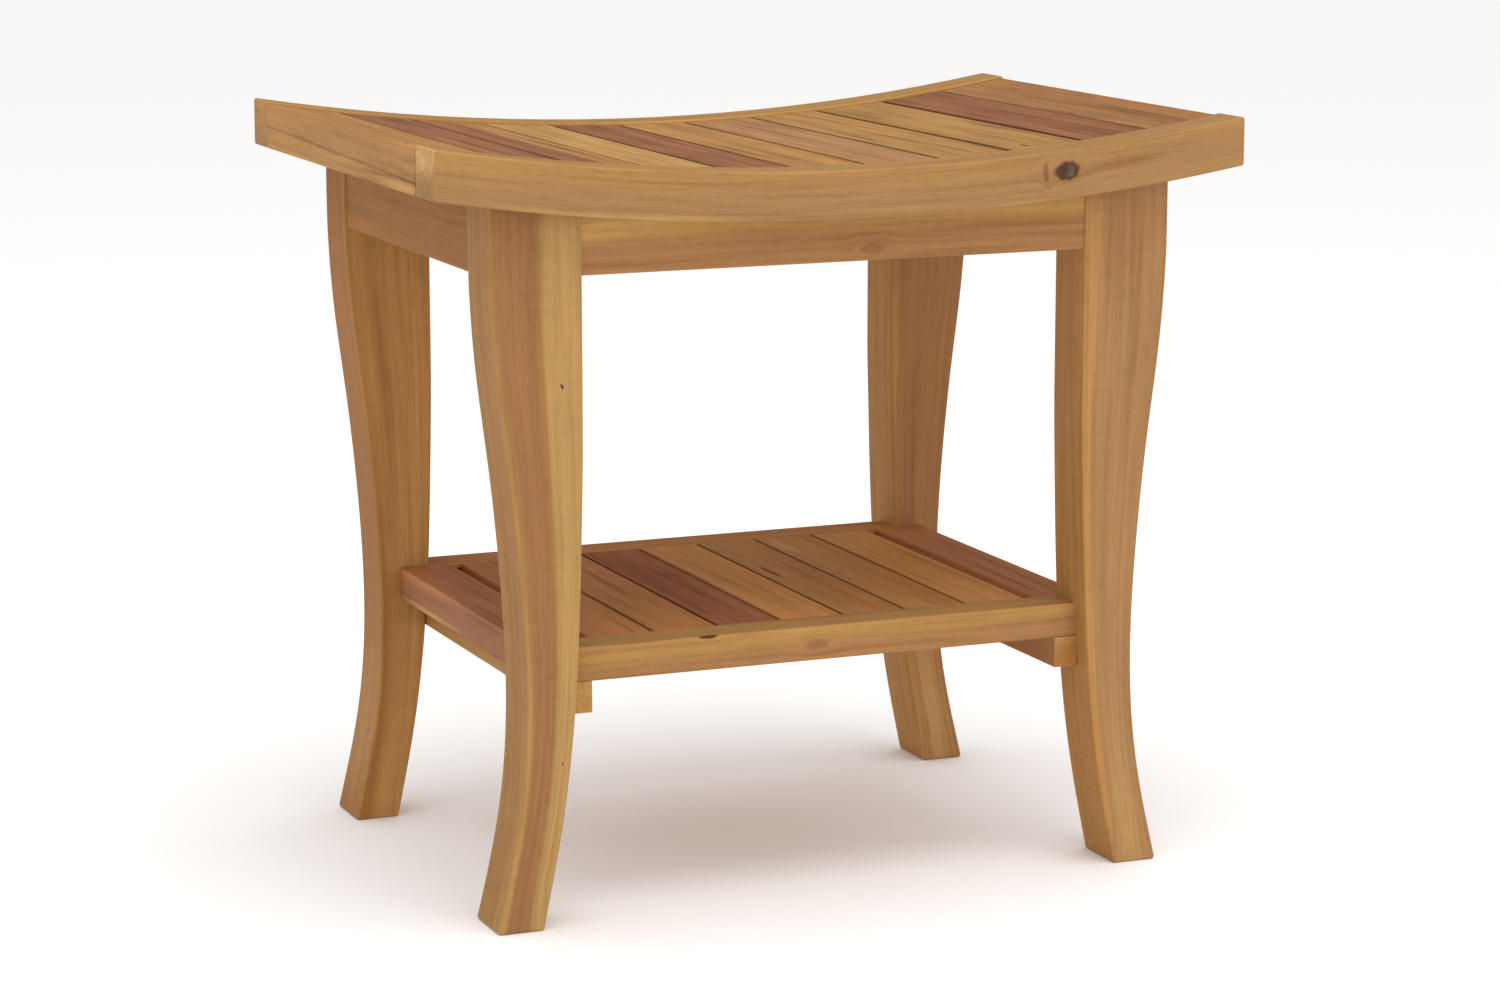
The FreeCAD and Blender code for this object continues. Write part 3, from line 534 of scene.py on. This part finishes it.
BOARDS = {
    "seat_rail_front": dict(
        CUT, run="arc", sap="amber", pith=(-9.0, -70.0), radius=80.0,
        knots=(((132.7, -15.0, 2.1), (8.6, 9.0, 6.0), 1.0),
               ((119.3, -15.0, 2.2), (1.8, 9.0, 3.8), 0.38)),
        marks=(((167.0, -15.0, 2.6), (34.0, 9.0, 4.5), 0.5),
               ((-150.0, -15.0, -14.0), (120.0, 9.0, 5.0), -0.25),
               # painted light: the rail's left end face, which the lamps leave in shade, is lifted
               # towards the tone of its front
               ((-250.0, 0.0, 0.0), (2.0, 40.0, 40.0), -0.9))),
    "seat_rail_back": dict(CUT, run="arc", sap="amber", pith=(20.0, -60.0)),
    "seat_end_board_left": dict(
        SEAT, heart="copper", sap="copper", pith=(0.0, -120.0), lean=(0.0, -0.019),
        radius=118.5, soft=3.0, rim=0.6, joints=(0.0, 0.5),
        marks=(((115.0, -22.0, -10.0), (70.0, 14.0, 4.0), -0.3),
               ((60.0, -22.0, 7.0), (45.0, 12.0, 6.0), 0.15),
               ((-50.0, -22.0, 6.0), (40.0, 12.0, 5.0), 0.1),
               ((0.0, -24.0, 0.0), (200.0, 12.0, 26.0), -0.1),
               ((20.0, 12.0, 12.0), (150.0, 5.0, DEEP), 0.3))),
    "seat_slat_1": dict(
        SEAT_DARK, marks=(((-40.0, 8.0, 0.0), (110.0, 5.0, DEEP), 0.4),
                          ((60.0, -12.0, 0.0), (80.0, 5.0, DEEP), -0.15))),
    "seat_slat_2": dict(
        SEAT_DARK, sap="copper", pith=(-16.0, 6.0), radius=17.0, soft=3.0, lean=(0.01, 0.0),
        rim=0.6),
    "seat_slat_3": dict(
        SEAT, heart="straw", sap="straw", streaks=0.3, rings=0.18,
        marks=(((0.0, 16.0, 0.0), (150.0, 4.0, DEEP), 0.25),
               ((30.0, -8.0, 0.0), (110.0, 4.0, DEEP), -0.25))),
    "seat_slat_4": dict(
        SEAT_DARK, marks=(((-18.0, -6.0, 0.0), (40.0, 8.0, DEEP), 0.4),
                          ((70.0, 7.0, 0.0), (60.0, 6.0, DEEP), 0.3),
                          ((-80.0, 8.0, 0.0), (60.0, 5.0, DEEP), -0.2))),
    "seat_slat_5": dict(
        SEAT, heart="amber", sap="copper", radius=54.0, soft=5.0,
        marks=(((20.0, 15.0, 0.0), (140.0, 4.0, DEEP), 0.3),)),
    "seat_slat_6": dict(
        SEAT, heart="rose", sap="rose", line="dusk", streaks=0.3, rings=0.2,
        marks=(((18.0, 2.0, 0.0), (75.0, 5.0, DEEP), 0.3),
               ((80.0, 13.0, 0.0), (70.0, 6.0, DEEP), -0.3),
               ((-90.0, -8.0, 0.0), (70.0, 6.0, DEEP), 0.2))),
    "seat_slat_7": dict(
        SEAT, heart="copper", sap="amber", marks=(
            ((30.0, 15.0, 0.0), (120.0, 5.0, DEEP), 0.4),
            ((-60.0, -6.0, 0.0), (80.0, 5.0, DEEP), 0.15))),
    "seat_slat_8": dict(
        SEAT, heart="amber", sap="amber",
        knots=(((124.0, -8.0, 13.4), (6.5, 1.5, DEEP), 0.6),),
        marks=(((40.0, 12.0, 0.0), (110.0, 5.0, DEEP), -0.15),)),
    "seat_slat_9": dict(
        SEAT_DARK, heart="plum", sap="plum",
        marks=(((0.0, 9.0, 0.0), (150.0, 5.0, DEEP), 0.2),)),
    "seat_end_board_right": dict(
        SEAT, heart="chestnut", sap="toffee", joints=(0.5, 0.0),
        marks=(((0.0, 0.0, 10.0), (150.0, 7.0, DEEP), 0.2),)),
    "leg_front_left": dict(
        LEG, heart="blush", pith=(9.5, -19.0), lean=(0.012, 0.0), radius=13.0, soft=4.0,
        rim=0.2, knots=(((105.0, -13.7, -19.3), (1.5, 1.0, 4.0), 0.75),
                        ((-111.0, -16.4, -19.3), (1.5, 1.0, 4.0), 0.75)),
        stain="chestnut", marks=(((0.0, 27.0, 0.0), (500.0, 8.0, 45.0), 0.8),
                                 ((100.0, -1.0, -19.0), (200.0, 4.0, 8.0), 0.3))),
    "leg_front_right": dict(
        LEG, heart="copper", sap="fawn", pith=(-37.0, 12.0), radius=36.0, soft=3.0,
        streaks=0.05, rings=0.06,
        marks=(((-190.0, 0.0, -19.0), (140.0, 24.0, 16.0), -0.35),
               ((60.0, 8.0, -19.0), (150.0, 5.0, 12.0), 0.12),
               ((0.0, -4.0, -19.0), (240.0, 3.0, 12.0), 0.1),
               ((180.0, 0.0, -19.0), (70.0, 24.0, 16.0), 0.25))),
    "leg_back_left": dict(
        LEG, sap="copper", pith=(36.0, 12.0), radius=35.0, soft=4.0,
        marks=(((40.0, 10.0, -19.0), (200.0, 9.0, 12.0), 0.3),
               ((0.0, -14.0, -19.0), (220.0, 5.0, 12.0), -0.2),
               ((-150.0, 28.0, 0.0), (90.0, 8.0, 45.0), -0.3))),
    "leg_back_right": dict(
        LEG, heart="copper", sap="toffee", pith=(-36.0, 12.0), radius=34.0, soft=3.0,
        marks=(((-170.0, 0.0, -19.0), (110.0, 30.0, 16.0), -0.45),
               ((40.0, -4.0, -19.0), (150.0, 5.0, 12.0), 0.3))),
    "apron_front": dict(
        CUT, run="along", heart="toffee", sap="straw", pith=(0.0, -60.0), radius=64.0, soft=6.0,
        knots=(((21.0, -10.0, -10.4), (9.0, 12.0, 4.0), 0.22),),
        marks=(((-108.0, -10.0, 12.0), (75.0, 12.0, 5.0), -0.55),
               ((60.0, -10.0, -2.0), (110.0, 12.0, 3.0), 0.15))),
    "apron_back": dict(CUT, run="along", heart="chestnut"),
    "apron_left": dict(CUT, heart="chestnut", sap="chestnut"),
    "apron_right": dict(CUT, heart="chestnut", sap="chestnut"),
    "seat_cleat_left": dict(CUT, heart="amber"),
    "seat_cleat_right": dict(CUT, heart="chestnut"),
    "shelf_rail_front": dict(
        CUT, run="along", heart="toffee", sap="amber", pith=(0.0, -60.0), radius=62.0, soft=4.0,
        knots=(((-7.5, -12.6, -0.8), (8.0, 5.0, 3.2), 0.25),
               ((-76.0, -12.6, 10.1), (7.0, 2.2, 1.5), 0.8)),
        marks=(((-118.0, -12.6, 10.1), (36.0, 2.0, 1.2), 0.8),)),
    "shelf_rail_back": dict(CUT, run="along", heart="russet", sap="russet"),
    # painted light: the pith and radius put the top face in paler sienna heartwood and the outer
    # face in darker mauve sapwood, lifting the top that the seat shades
    "shelf_end_board_left": dict(
        SHELF_DARK, heart="sienna", sap="mauve", pith=(14.0, 30.0), radius=36.0, soft=3.0,
        joints=(0.0, 0.0),
        marks=(((-60.0, -16.0, -8.0), (80.0, 8.0, 2.5), -0.5),)),
    "shelf_end_board_right": dict(SHELF_DARK, heart="sienna", sap="sienna",
                                  joints=(0.0, 0.0)),
    "shelf_slat_1": dict(SHELF, heart="russet", sap="sienna", joints=(0.0, 0.5)),
    "shelf_slat_2": dict(
        SHELF, heart="russet", sap="russet", line="dusk",
        marks=(((-7.0, 3.0, 0.0), (60.0, 6.0, DEEP), 0.55),
               ((30.0, -9.0, 0.0), (60.0, 4.0, DEEP), 0.35),
               ((-70.0, -10.0, 0.0), (60.0, 5.0, DEEP), -0.25))),
    "shelf_slat_3": dict(
        SHELF_DARK, marks=(((27.0, 4.0, 0.0), (14.0, 2.5, DEEP), 0.8),
                           ((-30.0, -9.0, 0.0), (110.0, 5.0, DEEP), 0.4),
                           ((60.0, 12.0, 0.0), (90.0, 4.0, DEEP), -0.2))),
    "shelf_slat_4": dict(
        SHELF, heart="ginger", sap="ginger",
        marks=(((0.0, -15.0, 0.0), (120.0, 4.0, DEEP), -0.3),
               ((20.0, 5.0, 0.0), (100.0, 4.0, DEEP), 0.4))),
    "shelf_slat_5": dict(
        SHELF, heart="russet", sap="copper",
        knots=(((-15.0, -11.0, 0.0), (20.0, 1.6, DEEP), 0.7),),
        marks=(((60.0, -6.0, 0.0), (70.0, 4.0, DEEP), 0.35),
               ((-80.0, 10.0, 0.0), (50.0, 6.0, DEEP), -0.2))),
    "shelf_slat_6": dict(
        SHELF, heart="russet", sap="copper",
        marks=(((-90.0, -11.0, 0.0), (40.0, 6.0, DEEP), -0.6),
               ((10.0, 8.0, 0.0), (110.0, 4.0, DEEP), 0.3))),
    "shelf_slat_7": dict(
        SHELF, heart="ginger", sap="ginger", joints=(0.5, 0.0),
        marks=(((-70.0, -10.0, 0.0), (60.0, 5.0, DEEP), -0.4),
               ((0.0, 12.0, 0.0), (120.0, 6.0, DEEP), 0.4))),
    "shelf_bearer_left": dict(CUT, heart="amber"),
    "shelf_bearer_right": dict(CUT, heart="chestnut"),
    "bearer_dowels": dict(CUT, run="along", heart="straw"),
}


def oiled_acacia(node, wood):
    """Oiled acacia, planed, sanded and rubbed with oil: warm, with a soft satin sheen, fine open
    pores and a faint ripple across the grain."""
    cut = BOARDS[node]
    made = bpy.data.materials.new("oiled_acacia_" + node)
    made.use_nodes = True
    tree = made.node_tree
    tree.nodes.clear()
    place, half = grain_place(tree, node, cut["run"])
    sums = {"Knot": 0.0, "Stain": 0.0}
    for kind, label, total, spots in (("Mark", "Stain", "Sum", cut["marks"]),
                                      ("Knot", "Knot", "Shade", cut["knots"])):
        for centre, sizes, depth in spots:
            spot = add(tree, "Group", take=None, node_tree=bpy.data.node_groups[kind])
            fill(tree, spot, {"Place": place, "Centre": centre, "Size": sizes, "Depth": depth,
                              total: sums[label]})
            if kind == "Knot":
                place = spot.outputs["Place"]
            sums[label] = spot.outputs[total]
    seed = list(BOARDS).index(node) + 1.0
    figure = add(tree, "Group", take=None, node_tree=bpy.data.node_groups["Oiled acacia"])
    fill(tree, figure, {
        "Place": place, "Seed": seed, **sums, "Half size": tuple(half),
        "Heart": getattr(wood, cut["heart"]), "Sap": getattr(wood, cut["sap"]),
        "Line": getattr(wood, cut["line"]), "Stain tone": getattr(wood, cut["stain"]),
        "Pith": (0.0, *cut["pith"]), "Lean": (0.0, *cut["lean"]), "Softness": cut["soft"],
        "Joint shade": (*cut["joints"], 0.0),
        **{label: cut[label.lower()] for label in (
            "Radius", "Rim", "Ring", "Rings", "Streaks", "Mottle", "Ripple")}})
    tone, rough, height = figure.outputs
    normal = add(tree, "Bump", {"Height": height, "Strength": 0.6, "Distance": 0.00012})
    skin = add(tree, "BsdfPrincipled", {
        "Base Color": tone, "Roughness": rough, "Normal": normal, "IOR": 1.47,
        "Specular IOR Level": SHEEN})
    add(tree, "OutputMaterial", {0: skin}, take=None)
    return made


def finish_boards(context, prefix):
    """Give every board whose name starts with the prefix its own piece of acacia."""
    wood = context.scene.stool_wood
    if "Oiled acacia" not in bpy.data.node_groups:
        knot_group()
        mark_group()
        acacia_group(wood)
    nodes = [name for name in BOARDS if name.startswith(prefix)]
    if not nodes:
        raise RuntimeError(f"no board's name starts with {prefix}")
    for name in nodes:
        made = oiled_acacia(name, wood)
        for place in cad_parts[name].material_slots:
            place.material = made
    return {"FINISHED"}


# ------------------------------------------------------------------ operators
class STOOL_OT_seat(Operator):
    """Curved seat: two rails, two end boards and nine slats, each of its own tone"""

    bl_idname = "stool.seat"
    bl_label = "Seat"

    def execute(self, context):
        return finish_boards(context, "seat_")


class STOOL_OT_legs(Operator):
    """Four curved legs, with the grain following their bend"""

    bl_idname = "stool.legs"
    bl_label = "Legs"

    def execute(self, context):
        return finish_boards(context, "leg_")


class STOOL_OT_aprons(Operator):
    """Four aprons under the seat"""

    bl_idname = "stool.aprons"
    bl_label = "Aprons"

    def execute(self, context):
        return finish_boards(context, "apron_")


class STOOL_OT_shelf(Operator):
    """Slatted shelf with its rails, end boards and bearers"""

    bl_idname = "stool.shelf"
    bl_label = "Shelf"

    def execute(self, context):
        return finish_boards(context, ("shelf_", "bearer_"))


class STOOL_OT_screws(Operator):
    """Countersunk screws of stainless steel"""

    bl_idname = "stool.screws"
    bl_label = "Screws"

    def execute(self, context):
        look = context.scene.stool_steel
        # stainless steel, turned and lightly tumbled: bright, with fine marks that soften glints
        made = bpy.data.materials.new("turned_stainless_steel")
        made.use_nodes = True
        tree = made.node_tree
        tree.nodes.clear()
        place = add(tree, "TexCoord", take="Object")
        marks = add(tree, "TexNoise", {"Vector": place, "Scale": 1.0 / look.scratch,
                                       "Detail": 2.0})
        rough = add(tree, "MapRange", {0: marks, 3: 0.24, 4: 0.42})
        tone = add(tree, "Mix", {0: marks, 6: look.steel, 7: look.dull_steel}, take=2,
                   data_type="RGBA")
        normal = add(tree, "Bump", {"Height": marks, "Strength": 0.3, "Distance": 0.00005})
        skin = add(tree, "BsdfPrincipled", {"Base Color": tone, "Metallic": 1.0,
                                            "Roughness": rough, "Normal": normal})
        add(tree, "OutputMaterial", {0: skin}, take=None)
        for name in ("seat_screws", "cleat_screws", "shelf_screws"):
            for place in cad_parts[name].material_slots:
                place.material = made
        return {"FINISHED"}


class STOOL_OT_stage(Operator):
    """Pale floor, even room light with two large soft lamps, and the camera"""

    bl_idname = "stool.stage"
    bl_label = "Stage"

    def execute(self, context):
        scene = context.scene
        look = scene.stool_stage
        scene.view_settings.view_transform = "Standard"

        # matt painted floor: even and nearly white, its sheen broken by a trace of roller stipple
        half = look.floor_width / 2.0
        corners = [(x * half, y * half, -look.floor_gap)
                   for x, y in ((-1, -1), (1, -1), (1, 1), (-1, 1))]
        mesh = bpy.data.meshes.new("floor")
        mesh.from_pydata(corners, [], [(0, 1, 2, 3)])
        floor = bpy.data.objects.new("floor", mesh)
        scene.collection.objects.link(floor)
        paint = bpy.data.materials.new("matt_floor_paint")
        paint.use_nodes = True
        tree = paint.node_tree
        tree.nodes.clear()
        place = add(tree, "TexCoord", take="Object")
        stipple = add(tree, "TexNoise", {"Vector": place, "Scale": 400.0, "Detail": 1.0})
        rough = add(tree, "MapRange", {0: stipple, 3: 0.85, 4: 0.95})
        skin = add(tree, "BsdfPrincipled", {"Base Color": look.floor, "Roughness": rough,
                                            "Specular IOR Level": 0.2})
        add(tree, "OutputMaterial", {0: skin}, take=None)
        mesh.materials.append(paint)

        room = bpy.data.worlds.new("pale_room")
        room.use_nodes = True
        tree = room.node_tree
        tree.nodes.clear()
        # walls past the lamps are dim, so reflections see less light than the floor does
        mirrored = add(tree, "LightPath", take="Is Glossy Ray")
        strength = add(tree, "MapRange", {0: mirrored, 3: look.sky, 4: look.sky * look.walls})
        glow = add(tree, "Background", {0: (1.0, 1.0, 1.0, 1.0), 1: strength})
        add(tree, "OutputWorld", {0: glow}, take=None)
        scene.world = room

        low, high = CAD_BOX
        target = (low + high) / 2.0
        for name, power, away in (("top_lamp", look.top_power, (0.0, -0.6, 2.4)),
                                  ("front_lamp", look.front_power, (0.6, -3.0, 0.7))):
            lamp = bpy.data.lights.new(name, "AREA")
            lamp.energy = power
            lamp.shape = "SQUARE"
            lamp.size = look.lamp_width
            holder = bpy.data.objects.new(name, lamp)
            scene.collection.objects.link(holder)
            holder.location = [middle + step for middle, step in zip(target, away)]
            holder.rotation_euler = (target - holder.location).to_track_quat("-Z", "Y").to_euler()

        camera = bpy.data.cameras.new("camera")
        camera.lens = look.lens
        camera.sensor_width = 36.0
        camera.clip_end = 200.0
        eye = bpy.data.objects.new("camera", camera)
        eye.location = look.camera_place
        eye.rotation_euler = (math.radians(90.0) - look.camera_pitch, 0.0, -look.camera_yaw)
        scene.collection.objects.link(eye)
        scene.camera = eye
        return {"FINISHED"}


class STOOL_PT_looks(Panel):
    """The stool's pieces, its colours and its stage"""

    bl_idname = "STOOL_PT_looks"
    bl_label = "Shower stool"
    bl_space_type = "VIEW_3D"
    bl_region_type = "UI"
    bl_category = "Stool"

    def draw(self, context):
        for operator in STEPS:
            self.layout.operator(operator.bl_idname)
        for label, group in GROUPS.items():
            box = self.layout.box()
            box.label(text=label.replace("_", " ").capitalize())
            held = getattr(context.scene, label)
            for name in group.__annotations__:
                box.prop(held, name)


GROUPS = {"stool_wood": StoolWood, "stool_steel": StoolSteel, "stool_stage": StoolStage}
STEPS = (STOOL_OT_seat, STOOL_OT_legs, STOOL_OT_aprons, STOOL_OT_shelf, STOOL_OT_screws,
         STOOL_OT_stage)
CLASSES = (*GROUPS.values(), *STEPS, STOOL_PT_looks)


def register():
    """Register the classes and hang the settings on the scene."""
    for cls in CLASSES:
        bpy.utils.register_class(cls)
    for label, group in GROUPS.items():
        setattr(bpy.types.Scene, label, PointerProperty(type=group))


def unregister():
    """Undo register."""
    for label in GROUPS:
        delattr(bpy.types.Scene, label)
    for cls in reversed(CLASSES):
        bpy.utils.unregister_class(cls)


def main():
    """Register and run every step in order."""
    register()
    for operator in STEPS:
        family, name = operator.bl_idname.split(".")
        getattr(getattr(bpy.ops, family), name)()


if __name__ == "__main__":
    main()
